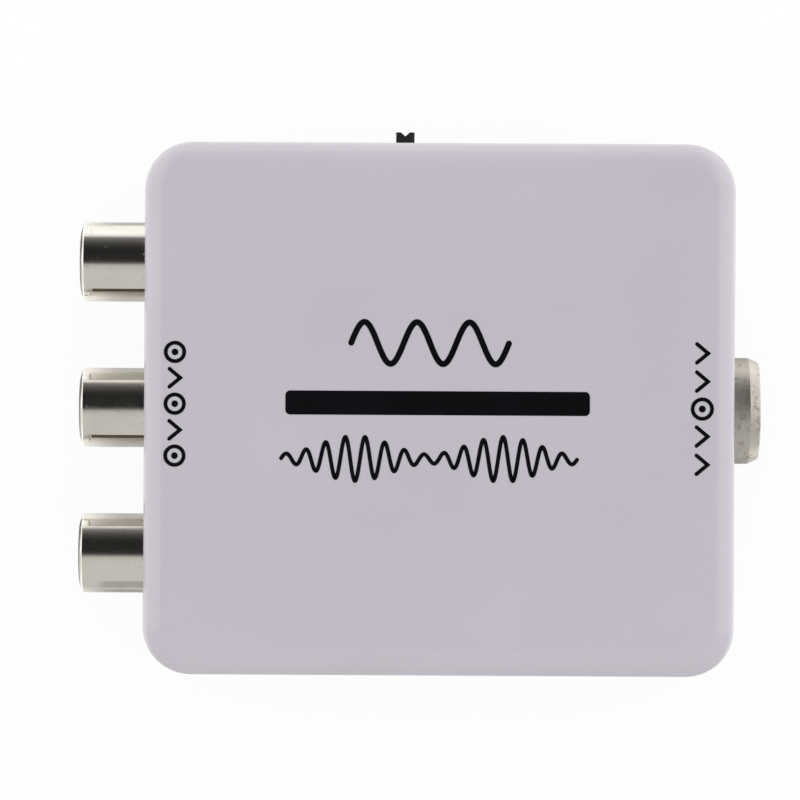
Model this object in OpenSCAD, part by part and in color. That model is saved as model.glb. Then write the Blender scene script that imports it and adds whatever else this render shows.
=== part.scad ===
// Small desktop box that turns composite picture and sound into an aerial signal.
// Millimetres. +Z is up, +X points to the aerial socket and +Y to the power socket and switch.
// The origin is the centre of the underside.

/* [Case] */
// Length of the case, from the phono jacks' wall to the aerial socket's wall
case_length = 61; // [58:1:80]
// Depth of the case, from the bare front wall to the power socket's wall
case_depth = 55; // [52:1:80]
// Height of the case
case_height = 20; // [18.5:0.5:30]
// Radius of the upright corners, seen from above
corner_radius = 5; // [4:0.5:7]
// Radius of the top and bottom edges
edge_radius = 2.6; // [2.2:0.2:3.4]
// Thickness of the moulded walls
wall = 1.8; // [1.6:0.1:2]
// Depth and half width of the fine groove where the shells meet
seam = 0.15; // [0.05:0.05:0.25]

/* [Shell joint] */
// Height of the tongue that locates the upper shell
tongue_height = 1.2; // [0.8:0.1:1.6]
// Thickness of the tongue
tongue_thickness = 0.8; // [0.6:0.1:1]
// Distance between the two snap arms on one wall
arm_spacing = 40; // [38:1:42]
// Width of a snap arm
arm_width = 5; // [3:0.5:6]
// Thickness of a snap arm
arm_thickness = 1.1; // [0.8:0.1:1.3]
// Length of a snap arm below the parting line
arm_drop = 3.4; // [3:0.1:3.6]
// Height of the wall's root that carries a snap arm
arm_root = 3.6; // [2.4:0.2:5]
// Depth of the barb's catching face below the parting line
catch_drop = 1.6; // [1.2:0.1:2]
// Height of the flat tip of a barb
barb_flat = 0.5; // [0.3:0.1:0.7]
// Reach of a barb into the lower shell's wall
barb_reach = 0.5; // [0.3:0.1:0.7]

/* [Circuit board] */
// Thickness of the circuit board
board_thickness = 1.6; // [1:0.2:2]
// Height of the posts that carry the board
post_height = 1.6; // [1.6:0.2:3]
// Diameter of the posts
post_d = 3.8; // [3.4:0.2:4.4]
// Distance of the posts from the edges of the board
post_inset = 3; // [2.6:0.2:3.6]
// Diameter of the pins that locate the board
locating_pin_d = 1.8; // [1.4:0.2:2.2]
// Thread diameter of the board screws
screw_d = 2; // [1.6:0.2:2.2]
// Length of the board screws under the head
screw_length = 4; // [3.4:0.2:4.2]
// Diameter of the screw heads
screw_head_d = 3.6; // [3:0.2:4]
// Height of the screw heads
screw_head_height = 1.2; // [0.8:0.1:1.6]
// Height of all connector axes above the board
axis_rise = 5; // [4.9:0.1:5.4]

/* [Phono jacks] */
// Distance from jack to jack
rca_pitch = 15.24; // [13:0.02:15.8]
// Outer diameter of a barrel
rca_d = 8.3; // [8:0.1:8.6]
// Length of barrel outside the case
rca_reach = 7; // [5:0.5:10]
// Thickness of the barrel's sheet metal
rca_metal = 0.5; // [0.4:0.05:0.6]
// Depth of the rim's slope, along the barrel
rca_rim_depth = 0.42; // [0.3:0.02:0.6]
// Width of the rim's slope, along the radius
rca_rim_width = 0.95; // [0.6:0.05:1]
// How far the rolled rim turns in over the insert
rca_lip = 0.5; // [0.2:0.1:0.8]
// Diameter of the bore for the plug's pin
rca_bore_d = 3.6; // [3.5:0.05:3.8]
// Width of the funnel at the mouth of the bore
rca_funnel = 0.7; // [0.3:0.1:0.9]
// Length of the insert's plain bore, before the contact starts
rca_plain_bore = 4; // [3:0.5:5]
// Depth of the seat that holds a barrel in the jack block
rca_seat = 2; // [1.6:0.2:3]
// Width of a flute stamped into a barrel
flute_width = 1.2; // [0.8:0.1:1.4]
// Depth of a flute at its inner edge; it runs out to nothing at the other edge
flute_depth = 0.18; // [0.1:0.02:0.26]
// Distance of the flutes from the front of a barrel
flute_start = 1; // [0.8:0.1:2]
// Length of the slope at a flute's front end
flute_slope = 0.4; // [0.2:0.1:0.8]
// Angle of the flutes from the barrel's top and from its underside
flute_angle = 52; // [45:1:60]
// Depth of the moulded jack block, along the barrels
rca_block_depth = 9.8; // [9:0.2:12]
// Width of the block's cell round one jack
rca_block_width = 10.4; // [9.8:0.1:11]
// Height of the block above the jacks' axes
rca_block_rise = 5.2; // [4.8:0.1:6]

/* [Aerial socket] */
// Outer diameter of the barrel
rf_d = 11.1; // [10.8:0.1:11.6]
// Diameter of the bore that takes the aerial plug
rf_bore_d = 9.6; // [9.5:0.05:9.7]
// Length of barrel outside the case
rf_reach = 2.9; // [2:0.1:6]
// Depth of the bore
rf_bore_depth = 9; // [8:0.5:11]
// Length of the taper behind the rim
rf_taper_length = 1.1; // [0.6:0.1:2]
// Drop in radius over the taper
rf_taper_drop = 0.5; // [0.2:0.05:0.5]
// Length of the cast block behind the barrel
rf_block_depth = 4.5; // [4:0.5:6]
// Width of the cast block
rf_block_width = 11.6; // [11:0.2:12.4]
// Height of the cast block above the socket's axis
rf_block_rise = 5.6; // [5:0.2:6.4]
// Outer diameter of the split centre contact
rf_contact_d = 3.4; // [3.2:0.1:3.8]
// Diameter of the centre contact's bore
rf_contact_bore_d = 2.4; // [2.3:0.05:2.5]
// Distance of the contact's tip behind the rim
rf_contact_setback = 1; // [0.6:0.1:2]

/* [Power socket] */
// Place of the power socket along the case
usb_x = 9.35; // [8.6:0.05:10]
// Width of the socket's shell
usb_width = 7.7; // [7.5:0.1:7.9]
// Height of the shell
usb_height = 4; // [3.8:0.1:4.2]
// Length of the shell
usb_length = 9.2; // [8.6:0.1:10]
// How far the shell stands out of the case
usb_reach = 0.45; // [0.1:0.05:1]
// Thickness of the shell's sheet metal
usb_metal = 0.3; // [0.2:0.05:0.4]

/* [Channel switch] */
// Place of the middle of the switch along the case
switch_x = -2.65; // [-3.4:0.05:-2]
// Travel of the lever, from one channel to the other
switch_travel = 2; // [1.6:0.1:2.2]
// Width of the lever
lever_width = 1.94; // [1.6:0.02:2.2]
// Height of the lever
lever_height = 1.8; // [1.6:0.1:2]
// How far the lever stands out of the case
lever_reach = 1.6; // [1.2:0.1:3]
// Width of the notch in the lever's tip
notch_width = 0.92; // [0.6:0.02:1.2]
// Depth of the notch
notch_depth = 0.43; // [0.2:0.01:0.6]
// Length of the switch's steel frame
switch_length = 8.6; // [8:0.1:9.2]
// Depth of the frame
switch_depth = 4.4; // [4:0.1:5]
// Height of the frame above the board
switch_height = 3.6; // [3.4:0.1:4]

/* [Hidden] */
$fn = 72;

// Overrun of every cut past the surface that it opens
cut = 1;
// Running clearance of pieces that slide or push in
running = 0.05;
// Clearance of the case's holes round the connectors
hole_gap = 0.2;
// Clearance of the case's slot round the lever, and of the rebate round the tongue
slot_gap = 0.3;
joint_gap = 0.1;
// Clearance between the board and the walls, and of its holes round legs and screws
board_gap = 0.7;
leg_gap = 0.15;
// How far legs stand out under the board
leg_out = 0.9;
// Corner radius of the board
board_radius = 1.5;

// Faces of the case and of its cavity
left_face = -case_length / 2;
right_face = case_length / 2;
back_face = case_depth / 2;
left_inner = left_face + wall;
right_inner = right_face - wall;
back_inner = back_face - wall;

// Heights, from the floor up: the shells meet at the connectors' axes
board_bottom = wall + post_height;
board_top = board_bottom + board_thickness;
axis_z = board_top + axis_rise;
board_left = left_inner + board_gap;
board_right = right_inner - board_gap;
board_back = back_inner - board_gap;

// Inset of the tongue from the case's walls
tongue_inset = wall - tongue_thickness;

// Floor left under the screw holes, core and pilot hole of the screws
screw_floor = 0.6;
screw_thread_depth = 0.2;
screw_core_d = screw_d - 2 * screw_thread_depth;
pilot_d = screw_core_d + 2 * running;
// Height of the locating pins over the board
locating_pin_rise = 0.8;

// Phono jacks: places along the barrels
rca_r = rca_d / 2;
rca_inner_r = rca_r - rca_metal;
rca_lip_r = rca_inner_r - rca_lip;
rca_front = left_face - rca_reach;
rca_block_front = left_inner + hole_gap;
rca_block_back = rca_block_front + rca_block_depth;
rca_seat_floor = rca_block_front + rca_seat;
// The barrel steps down just inside the case's face, to the stem that the block holds
rca_shoulder = left_face + running;
rca_step = 0.2;
rca_stem_r = rca_r - rca_step;
// Outline of the rim's slope, as shares of its width inwards and of its depth
rca_rim_shares = [[1, 0], [0.75, 0.17], [0.06, 0.86], [0, 1]];
rca_insert_front = rca_front + rca_metal;
rca_insert_r = rca_inner_r - running;
rca_contact_front = rca_insert_front + rca_funnel + rca_plain_bore;
rca_contact_metal = 0.35;
rca_contact_step = 0.2;
rca_contact_bore_r = rca_bore_d / 2 - rca_contact_step;
rca_contact_r = rca_contact_bore_r + rca_contact_metal;
rca_contact_slit = 0.4;
rca_contact_slit_length = 3;
rca_rows = [rca_pitch, 0, -rca_pitch];
// Legs of the barrels and of the centre contacts
rca_leg_width = 2;
rca_leg_metal = 0.4;
rca_leg_x = rca_seat_floor - rca_leg_metal / 2;
rca_tail_width = 1.2;
rca_tail_x = rca_block_back + rca_leg_metal / 2;
// The block's cells are tied by a lower web, set back from the wall
rca_web_height = 6;
rca_web_setback = 3;

// Aerial socket: places along its axis
rf_r = rf_d / 2;
rf_bore_r = rf_bore_d / 2;
rf_mouth = right_face + rf_reach;
rf_bore_floor = rf_mouth - rf_bore_depth;
rf_back_web = 0.5;
rf_block_front = rf_bore_floor - rf_back_web;
rf_block_back = rf_block_front - rf_block_depth;
rf_rim_chamfer = 0.1;
rf_disc_thickness = 1.2;
rf_hub_r = 2.7;
rf_hub_height = 1.6;
rf_stem_r = 2.3;
rf_contact_tip = rf_mouth - rf_contact_setback;
rf_contact_slit = 0.35;
rf_contact_slit_length = 4.5;
rf_leg_size = 1.2;
rf_leg_inset = 1;
rf_tail_width = 1;
rf_tail_metal = 0.4;
rf_tail_x = rf_block_back - rf_tail_metal / 2;
rf_block_edge = 0.8;

// Power socket
usb_mouth = back_face + usb_reach;
usb_rear = usb_mouth - usb_length;
usb_z = board_top + usb_height / 2;
usb_foot_narrowing = 1.15;
usb_step_high = 0.4;
usb_step_low = 1.2;
usb_plug_depth = 5.6;
usb_tongue_width = 3.9;
usb_tongue_thickness = 0.9;
usb_tongue_setback = 1.1;
usb_contact_count = 5;
usb_contact_pitch = 0.8;
usb_contact_width = 0.4;
usb_contact_metal = 0.15;
usb_contact_setback = 0.3;
usb_tail_reach = 1.1;
usb_leg_length = 1.5;
usb_leg_inset = 1;
usb_leg_y = [usb_mouth - wall - usb_reach - usb_leg_length, usb_rear + usb_leg_inset];

// Channel switch: heights above the board, and places along the lever
switch_metal = 0.3;
switch_front = back_inner - 2 * hole_gap;
switch_back = switch_front - switch_depth;
switch_base_height = 0.8;
switch_base_top = board_top + switch_base_height;
switch_pitch = switch_travel;
terminal_head = 0.1;
terminal_length = 0.9;
terminal_width = 0.5;
wiper_metal = 0.2;
wiper_height = 0.45;
wiper_width = 1;
wiper_foot = 0.6;
wiper_bottom = switch_base_top + terminal_head + running;
slider_bottom = wiper_bottom + wiper_height;
slider_top = board_top + switch_height - switch_metal - running;
slider_length = 4.6;
slider_back = switch_back + switch_metal + running;
slider_front = switch_front - switch_metal - running;
lever_tip = back_face + lever_reach;
lever_z = (slider_bottom + slider_top) / 2;
lever_x = switch_x - switch_travel / 2;
switch_window_width = switch_travel + lever_width + slot_gap;
switch_window_height = lever_height + 2 * running;
switch_tab_width = 1.4;

// Screening box over the modulator chip
shield_length = 15;
shield_depth = 16;
shield_height = 3.4;
shield_metal = 0.25;
shield_lip = 1.4;
shield_tab_width = 1.6;
shield_corner = 1;
shield_grown = 2 * (shield_metal + running);

// Modulator chip, with its gull-wing leads
chip_length = 6.4;
chip_width = 5.3;
chip_height = 1.7;
chip_standoff = 0.1;
chip_edge = 0.35;
chip_lead_count = 8;
chip_lead_pitch = 0.65;
chip_lead_width = 0.25;
chip_lead_metal = 0.15;
chip_lead_reach = 1.2;
chip_lead_foot = 0.6;
chip_lead_height = 0.9;

// Tuning coil in its square can
coil_size = 7;
coil_height = 7.6;
coil_metal = 0.3;
coil_corner = 0.9;
coil_hole_d = 3.6;
coil_core_d = 2.9;
coil_core_height = 4.4;
coil_core_drop = 0.7;
coil_slot_width = 0.5;
coil_slot_depth = 0.9;
coil_former_wall = 0.5;
coil_flange_height = 1;
coil_winding_height = 3;
coil_winding_thickness = 0.6;
coil_tab_width = 1;

// Crystal lying beside the screening box
crystal_length = 10.8;
crystal_width = 4.2;
crystal_height = 3.5;
crystal_flange = 0.35;
crystal_flange_height = 0.5;
crystal_lead_pitch = 4.88;
crystal_lead_d = 0.45;

// Upright electrolytic capacitors
capacitor_d = 5;
capacitor_height = 7;
capacitor_edge = 0.5;
capacitor_bead_height = 1.1;
capacitor_bead_depth = 0.25;
capacitor_lead_pitch = 2;
capacitor_lead_d = 0.5;
capacitor_vent_width = 0.3;
capacitor_vent_depth = 0.2;

// Voltage regulator beside the power socket
regulator_length = 4.5;
regulator_width = 2.5;
regulator_height = 1.5;
regulator_lead_pitch = 1.5;
regulator_lead_width = 0.45;
regulator_lead_reach = 0.9;
regulator_lead_metal = 0.35;
regulator_edge = 0.3;

// Small chips in rows
small_chip_length = 2;
small_chip_width = 1.25;
small_chip_height = 0.5;
small_chip_tall = 0.9;
small_chip_step = 2.4;
side_row_gap = 4.6;

// Layout along X, between the sockets: coil, small chips and screening box, and shares of the room left over
layout_left = rca_block_back + rca_leg_metal + hole_gap;
layout_right = rf_block_back - rf_tail_metal - hole_gap;
shield_outer_length = shield_length + shield_grown;
room_x = layout_right - layout_left - coil_size - small_chip_length - shield_outer_length;
room_x_shares = [0.44, 0.17, 0.28];
coil_x = layout_left + room_x_shares[0] * room_x + coil_size / 2;
small_chip_x = coil_x + coil_size / 2 + room_x_shares[1] * room_x + small_chip_length / 2;
shield_x = small_chip_x + small_chip_length / 2 + room_x_shares[2] * room_x + shield_outer_length / 2;
chip_x = shield_x;
crystal_x = shield_x;
regulator_x = shield_x;

// Layout along Y of the coil and the capacitors, from the board's front edge to the switch
room_coil_y = switch_back + board_back - coil_size - 3 * capacitor_d;
room_coil_shares = [0.5, 0.13, 0.1, 0.13];
capacitor_stagger = 0.6;
coil_y = -board_back + room_coil_shares[0] * room_coil_y + coil_size / 2;
capacitor_1_y = coil_y + (coil_size + capacitor_d) / 2 + room_coil_shares[1] * room_coil_y;
capacitor_2_y = capacitor_1_y + capacitor_d + room_coil_shares[2] * room_coil_y;
capacitor_3_y = capacitor_2_y + capacitor_d + room_coil_shares[3] * room_coil_y;
capacitor_places = [
    [coil_x, capacitor_1_y],
    [coil_x - capacitor_stagger, capacitor_2_y],
    [coil_x + capacitor_stagger, capacitor_3_y]
];

// Layout along Y of the crystal, the screening box and the regulator, from the board's front edge to the power socket
crystal_outer_width = crystal_width + 2 * crystal_flange;
shield_outer_depth = shield_depth + shield_grown;
regulator_outer_width = regulator_width + 2 * regulator_lead_reach;
room_shield_y = usb_rear - usb_tail_reach + board_back
    - crystal_outer_width - shield_outer_depth - regulator_outer_width;
room_shield_shares = [0.44, 0.2, 0.19];
crystal_y = -board_back + room_shield_shares[0] * room_shield_y + crystal_outer_width / 2;
shield_y = crystal_y + (crystal_outer_width + shield_outer_depth) / 2 + room_shield_shares[1] * room_shield_y;
regulator_y = shield_y + (shield_outer_depth + regulator_outer_width) / 2 + room_shield_shares[2] * room_shield_y;
chip_y = shield_y;

// Layout along Y of the small chips: three groups between the board's front edge and the switch,
// two beside the aerial socket
small_chip_counts = [3, 5, 4];
side_chip_counts = [3, 2];
function group_length(count) = (count - 1) * small_chip_step + small_chip_width;
group_lengths = [for (count = small_chip_counts) group_length(count)];
room_chips_y = switch_back + board_back - group_lengths[0] - group_lengths[1] - group_lengths[2];
room_chips_shares = [0.35, 0.05, 0.4];
group_1_y = -board_back + room_chips_shares[0] * room_chips_y + small_chip_width / 2;
group_2_y = group_1_y + group_lengths[0] + room_chips_shares[1] * room_chips_y;
group_3_y = group_2_y + group_lengths[1] + room_chips_shares[2] * room_chips_y;
side_row_y = rf_block_width / 2 + side_row_gap;
// Each row: its first place, the number of chips and the step
resistor_rows = [
    [[small_chip_x, group_2_y], small_chip_counts[1], small_chip_step],
    [[small_chip_x, group_3_y], small_chip_counts[2], small_chip_step]
];
small_capacitor_rows = [
    [[small_chip_x, group_1_y], small_chip_counts[0], small_chip_step],
    [[rf_block_back, -side_row_y], side_chip_counts[0], -small_chip_step],
    [[rf_block_back, side_row_y], side_chip_counts[1], small_chip_step]
];

// Finishes
case_color = [0.82, 0.8, 0.84];
nickel_color = [0.74, 0.72, 0.68];
tin_color = [0.76, 0.77, 0.78];
black_color = [0.1, 0.1, 0.1];
gold_color = [0.83, 0.66, 0.28];

// Upright profile from the axis out to a wall, its lower outer corner rounded
module side_profile(reach, height, edge) {
    square([reach - edge, height]);
    translate([0, edge]) square([reach, height - edge]);
    translate([reach - edge, edge]) intersection() {
        circle(edge);
        translate([0, -edge]) square(edge);
    }
}

module both_sides() {
    children();
    mirror([1, 0]) children();
}

// Rectangle with round corners
module plan(length, depth, radius) {
    square([length - 2 * radius, depth], center = true);
    square([length, depth - 2 * radius], center = true);
    for (x = [-1, 1], y = [-1, 1]) translate([x * (length / 2 - radius), y * (depth / 2 - radius)]) circle(radius);
}

// Solid half of the case: round corners in plan and a rolled edge round its floor
module half_case(length, depth, height, radius, edge) {
    corner_signs = [[1, 1], [-1, 1], [-1, -1], [1, -1]];
    for (i = [0:3]) {
        translate([corner_signs[i].x * (length / 2 - radius), corner_signs[i].y * (depth / 2 - radius), 0])
            rotate(90 * i)
                rotate_extrude(angle = 90) side_profile(radius, height, edge);
    }
    rotate([90, 0, 0])
        linear_extrude(depth - 2 * radius, center = true) both_sides() side_profile(length / 2, height, edge);
    rotate([90, 0, 90])
        linear_extrude(length - 2 * radius, center = true) both_sides() side_profile(depth / 2, height, edge);
}

module half_cavity(height) {
    translate([0, 0, wall])
        half_case(case_length - 2 * wall, case_depth - 2 * wall, height, corner_radius - wall, edge_radius - wall);
}

// Groove round the rim of a shell, where the shells meet
module seam_cut(height) {
    translate([0, 0, height - seam]) linear_extrude(seam + cut) difference() {
        plan(case_length + cut, case_depth + cut, corner_radius + cut / 2);
        plan(case_length - 2 * seam, case_depth - 2 * seam, corner_radius - seam);
    }
}

// Round bar along X, for holes and stems on a connector's axis
module axial_bar(x0, x1, r) {
    translate([x0, 0, axis_z]) rotate([0, 90, 0]) cylinder(h = x1 - x0, r = r);
}

// Holes for the connectors, in both shells, and room over their blocks for a case so low that it would touch them
module connector_holes() {
    rca_room = rca_block_width + 2 * hole_gap;
    rf_room = rf_block_width + 2 * hole_gap;
    for (y = rca_rows) {
        translate([0, y, 0]) axial_bar(left_face - cut, left_inner + cut, rca_r + hole_gap);
        translate([rca_block_front, y - rca_room / 2, axis_z])
            cube([rca_block_depth + hole_gap, rca_room, rca_block_rise + hole_gap]);
    }
    axial_bar(rf_block_front, right_face + cut, rf_r + hole_gap);
    translate([rf_block_back - hole_gap, -rf_room / 2, axis_z])
        cube([rf_block_depth + hole_gap, rf_room, rf_block_rise + hole_gap]);
}

// Outline of the power socket's shell, seen from its mouth: the foot is narrower than the head
function usb_outline(grow) = [
    [usb_width / 2 + grow, usb_height / 2 + grow],
    [-usb_width / 2 - grow, usb_height / 2 + grow],
    [-usb_width / 2 - grow, -usb_step_high],
    [-usb_width / 2 + usb_foot_narrowing - grow, -usb_step_low],
    [-usb_width / 2 + usb_foot_narrowing - grow, -usb_height / 2 - grow],
    [usb_width / 2 - usb_foot_narrowing + grow, -usb_height / 2 - grow],
    [usb_width / 2 - usb_foot_narrowing + grow, -usb_step_low],
    [usb_width / 2 + grow, -usb_step_high]
];

module usb_bar(y0, y1, grow) {
    translate([usb_x, y1, usb_z]) rotate([90, 0, 0]) linear_extrude(y1 - y0) polygon(usb_outline(grow));
}

// Notches that the connectors on the back wall drop into, open to the parting line
module usb_notch() {
    notch = usb_width + 2 * hole_gap;
    usb_bar(back_inner - cut, back_face + cut, hole_gap);
    translate([usb_x - notch / 2, back_inner - cut, usb_z]) cube([notch, wall + 2 * cut, case_height]);
}

lever_slot_width = switch_travel + lever_width + 2 * slot_gap;
lever_slot_bottom = lever_z - lever_height / 2 - slot_gap;
lever_slot_top = lever_z + lever_height / 2 + slot_gap;

module lever_slot() {
    translate([switch_x - lever_slot_width / 2, back_inner - cut, lever_slot_bottom])
        cube([lever_slot_width, wall + 2 * cut, case_height]);
}

// Tab of the upper shell that closes a notch from above
module closing_tab(x, width, bottom) {
    tab_width = width - 2 * joint_gap;
    translate([x - tab_width / 2, back_inner, bottom])
        cube([tab_width, wall - seam, axis_z + tongue_height + joint_gap + cut / 2 - bottom]);
}

// Places of the snap arms: on the inner faces of the front and back walls, at the parting line
module at_arms() {
    for (side = [0, 1], x = [-1, 1])
        mirror([0, side, 0]) translate([x * arm_spacing / 2, back_inner, axis_z]) children();
}

module snap_arm() {
    outside = -2 * joint_gap;
    inside = outside - arm_thickness;
    root_bottom = tongue_height + 2 * joint_gap;
    root_top = root_bottom + arm_root;
    embedded = (wall - tongue_thickness) / 2;
    rotate([90, 0, 90]) linear_extrude(arm_width, center = true) polygon([
        [embedded, root_top],
        [inside, root_top - arm_thickness],
        [inside, -arm_drop],
        [outside, -arm_drop],
        [barb_reach, -catch_drop - barb_flat],
        [barb_reach, -catch_drop],
        [outside, -catch_drop],
        [outside, root_bottom],
        [embedded, root_bottom]
    ]);
}

module snap_pocket() {
    width = arm_width + 2 * slot_gap;
    translate([-width / 2, -cut, -arm_drop]) cube([width, cut + barb_reach + slot_gap, arm_drop - catch_drop + running]);
}

// Places of the board's posts: screws on one diagonal, locating pins on the other
post_left = rca_block_back + post_inset;
post_right = board_right - post_inset;
post_y = board_back - post_inset;
screw_posts = [[post_left, -post_y], [post_right, post_y]];
pin_posts = [[post_left, post_y], [post_right, -post_y]];

// Lower half of the case: tongue, notches, pockets for the barbs, and the board's posts
module bottom_shell() color(case_color) {
    difference() {
        union() {
            difference() {
                union() {
                    half_case(case_length, case_depth, axis_z, corner_radius, edge_radius);
                    translate([0, 0, edge_radius]) linear_extrude(axis_z + tongue_height - edge_radius)
                        plan(case_length - 2 * tongue_inset, case_depth - 2 * tongue_inset,
                             corner_radius - tongue_inset);
                }
                half_cavity(axis_z + tongue_height);
            }
            for (at = concat(screw_posts, pin_posts)) translate([at.x, at.y, wall / 2])
                cylinder(h = board_bottom - wall / 2, d = post_d);
            for (at = pin_posts) translate([at.x, at.y, board_bottom])
                cylinder(h = board_thickness + locating_pin_rise, d = locating_pin_d);
        }
        for (at = screw_posts) translate([at.x, at.y, screw_floor]) cylinder(h = board_bottom, d = pilot_d);
        seam_cut(axis_z);
        connector_holes();
        usb_notch();
        lever_slot();
        at_arms() snap_pocket();
    }
}

// Upper half of the case: rebate for the tongue, snap arms and closing tabs
module top_shell() color(case_color) {
    rim = case_height - axis_z;
    rebate = tongue_height + joint_gap;
    rebate_inset = tongue_inset - joint_gap;
    difference() {
        translate([0, 0, case_height]) mirror([0, 0, 1]) difference() {
            half_case(case_length, case_depth, rim, corner_radius, edge_radius);
            half_cavity(rim);
            translate([0, 0, rim - rebate]) linear_extrude(rebate + cut)
                plan(case_length - 2 * rebate_inset, case_depth - 2 * rebate_inset, corner_radius - rebate_inset);
            seam_cut(rim);
        }
        connector_holes();
    }
    at_arms() snap_arm();
    closing_tab(usb_x, usb_width + 2 * hole_gap, usb_z + usb_height / 2 + hole_gap);
    closing_tab(switch_x, lever_slot_width, lever_slot_top);
}

// Pan-head screw with a cross recess, pointing down, its head's seat at the origin
module board_screw() {
    recess = screw_head_d / 2;
    recess_width = screw_head_d / 6;
    recess_depth = screw_head_height / 2;
    tip = screw_d / 2;
    difference() {
        union() {
            intersection() {
                cylinder(h = screw_head_height, d = screw_head_d);
                translate([0, 0, screw_head_height - screw_head_d]) sphere(screw_head_d);
            }
            translate([0, 0, tip - screw_length]) cylinder(h = screw_length - tip, d = screw_core_d);
            translate([0, 0, -screw_length]) cylinder(h = tip, d1 = tip / 3, d2 = screw_core_d);
        }
        for (a = [0, 90]) rotate(a)
            translate([-recess / 2, -recess_width / 2, screw_head_height - recess_depth])
                cube([recess, recess_width, recess_depth + cut]);
    }
}

module board_screws() color(nickel_color) {
    for (at = screw_posts) translate([at.x, at.y, board_top]) board_screw();
}

// Straight legs through the board, from a given height, and the slots that they pass
module legs(places, size, top) {
    for (at = places)
        translate([at.x - size.x / 2, at.y - size.y / 2, board_bottom - leg_out])
            cube([size.x, size.y, top - board_bottom + leg_out]);
}

module leg_slots(places, size) {
    for (at = places)
        translate([at.x - size.x / 2 - leg_gap, at.y - size.y / 2 - leg_gap, board_bottom - cut])
            cube([size.x + 2 * leg_gap, size.y + 2 * leg_gap, board_thickness + 2 * cut]);
}

rca_legs = [for (y = rca_rows) [rca_leg_x, y]];
rca_tails = [for (y = rca_rows) [rca_tail_x, y]];
rca_leg_section = [rca_leg_metal, rca_leg_width];
rca_tail_section = [rca_leg_metal, rca_tail_width];
rf_leg_x = [rf_block_back + rf_leg_inset, rf_block_front - rf_leg_inset];
rf_leg_y = rf_block_width / 2 - rf_leg_inset;
rf_legs = [for (x = rf_leg_x, side = [-1, 1]) [x, side * rf_leg_y]];
rf_leg_section = [rf_leg_size, rf_leg_size];
rf_tail = [[rf_tail_x, 0]];
rf_tail_section = [rf_tail_metal, rf_tail_width];
usb_legs = [for (y = usb_leg_y, side = [-1, 1]) [usb_x + side * (usb_width - usb_metal) / 2, y]];
usb_leg_section = [usb_metal, usb_leg_length];
switch_terminal_places = [for (i = [-1:1]) [switch_x + i * switch_pitch, (switch_front + switch_back) / 2]];
switch_terminal_section = [terminal_width, terminal_length];
switch_tabs = [for (side = [-1, 1])
    [switch_x + side * (switch_length - switch_metal) / 2, (switch_front + switch_back) / 2]];
switch_tab_section = [switch_metal, switch_tab_width];
shield_tabs = [for (side = [-1, 1]) [shield_x + side * (shield_length - shield_metal) / 2, shield_y]];
shield_tab_section = [shield_metal, shield_tab_width];
coil_tabs = [for (side = [-1, 1]) [coil_x + side * (coil_size - coil_metal) / 2, coil_y]];
coil_tab_section = [coil_metal, coil_tab_width];

module circuit_board() color([0.1, 0.36, 0.2]) {
    notch_width_y = rf_d + 2 * board_gap;
    difference() {
        translate([(board_left + board_right) / 2, 0, board_bottom]) linear_extrude(board_thickness)
            plan(board_right - board_left, 2 * board_back, board_radius);
        translate([rf_block_front, -notch_width_y / 2, board_bottom - cut])
            cube([board_right - rf_block_front + cut, notch_width_y, board_thickness + 2 * cut]);
        leg_slots(rca_legs, rca_leg_section);
        leg_slots(rca_tails, rca_tail_section);
        leg_slots(rf_legs, rf_leg_section);
        leg_slots(rf_tail, rf_tail_section);
        leg_slots(usb_legs, usb_leg_section);
        leg_slots(switch_terminal_places, switch_terminal_section);
        leg_slots(switch_tabs, switch_tab_section);
        leg_slots(shield_tabs, shield_tab_section);
        leg_slots(coil_tabs, coil_tab_section);
        for (at = screw_posts) translate([at.x, at.y, board_bottom - cut])
            cylinder(h = board_thickness + 2 * cut, d = screw_d + 2 * leg_gap);
        for (at = pin_posts) translate([at.x, at.y, board_bottom - cut])
            cylinder(h = board_thickness + 2 * cut, d = locating_pin_d + 2 * leg_gap);
        for (at = capacitor_places, side = [-1, 1])
            translate([at.x + side * capacitor_lead_pitch / 2, at.y, board_bottom - cut])
                cylinder(h = board_thickness + 2 * cut, d = capacitor_lead_d + 2 * leg_gap);
        for (side = [-1, 1])
            translate([crystal_x + side * crystal_lead_pitch / 2, crystal_y, board_bottom - cut])
                cylinder(h = board_thickness + 2 * cut, d = crystal_lead_d + 2 * leg_gap);
    }
}

// Moulded block that holds the three phono jacks
module rca_block() color(black_color) {
    difference() {
        union() {
            for (y = rca_rows) translate([rca_block_front, y - rca_block_width / 2, board_top])
                cube([rca_block_depth, rca_block_width, axis_rise + rca_block_rise]);
            translate([rca_block_front + rca_web_setback, -rca_pitch, board_top])
                cube([rca_block_depth - rca_web_setback, 2 * rca_pitch, rca_web_height]);
        }
        for (y = rca_rows) translate([0, y, 0]) {
            axial_bar(rca_block_front - cut, rca_seat_floor, rca_stem_r + running);
            axial_bar(rca_block_front, rca_block_back + cut, rca_contact_r + running);
        }
        for (at = rca_legs) translate([at.x - rca_leg_metal / 2 - running, at.y - rca_leg_width / 2 - running, 0])
            cube([rca_leg_metal + running, rca_leg_width + 2 * running, axis_z - rca_inner_r]);
    }
}

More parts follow.
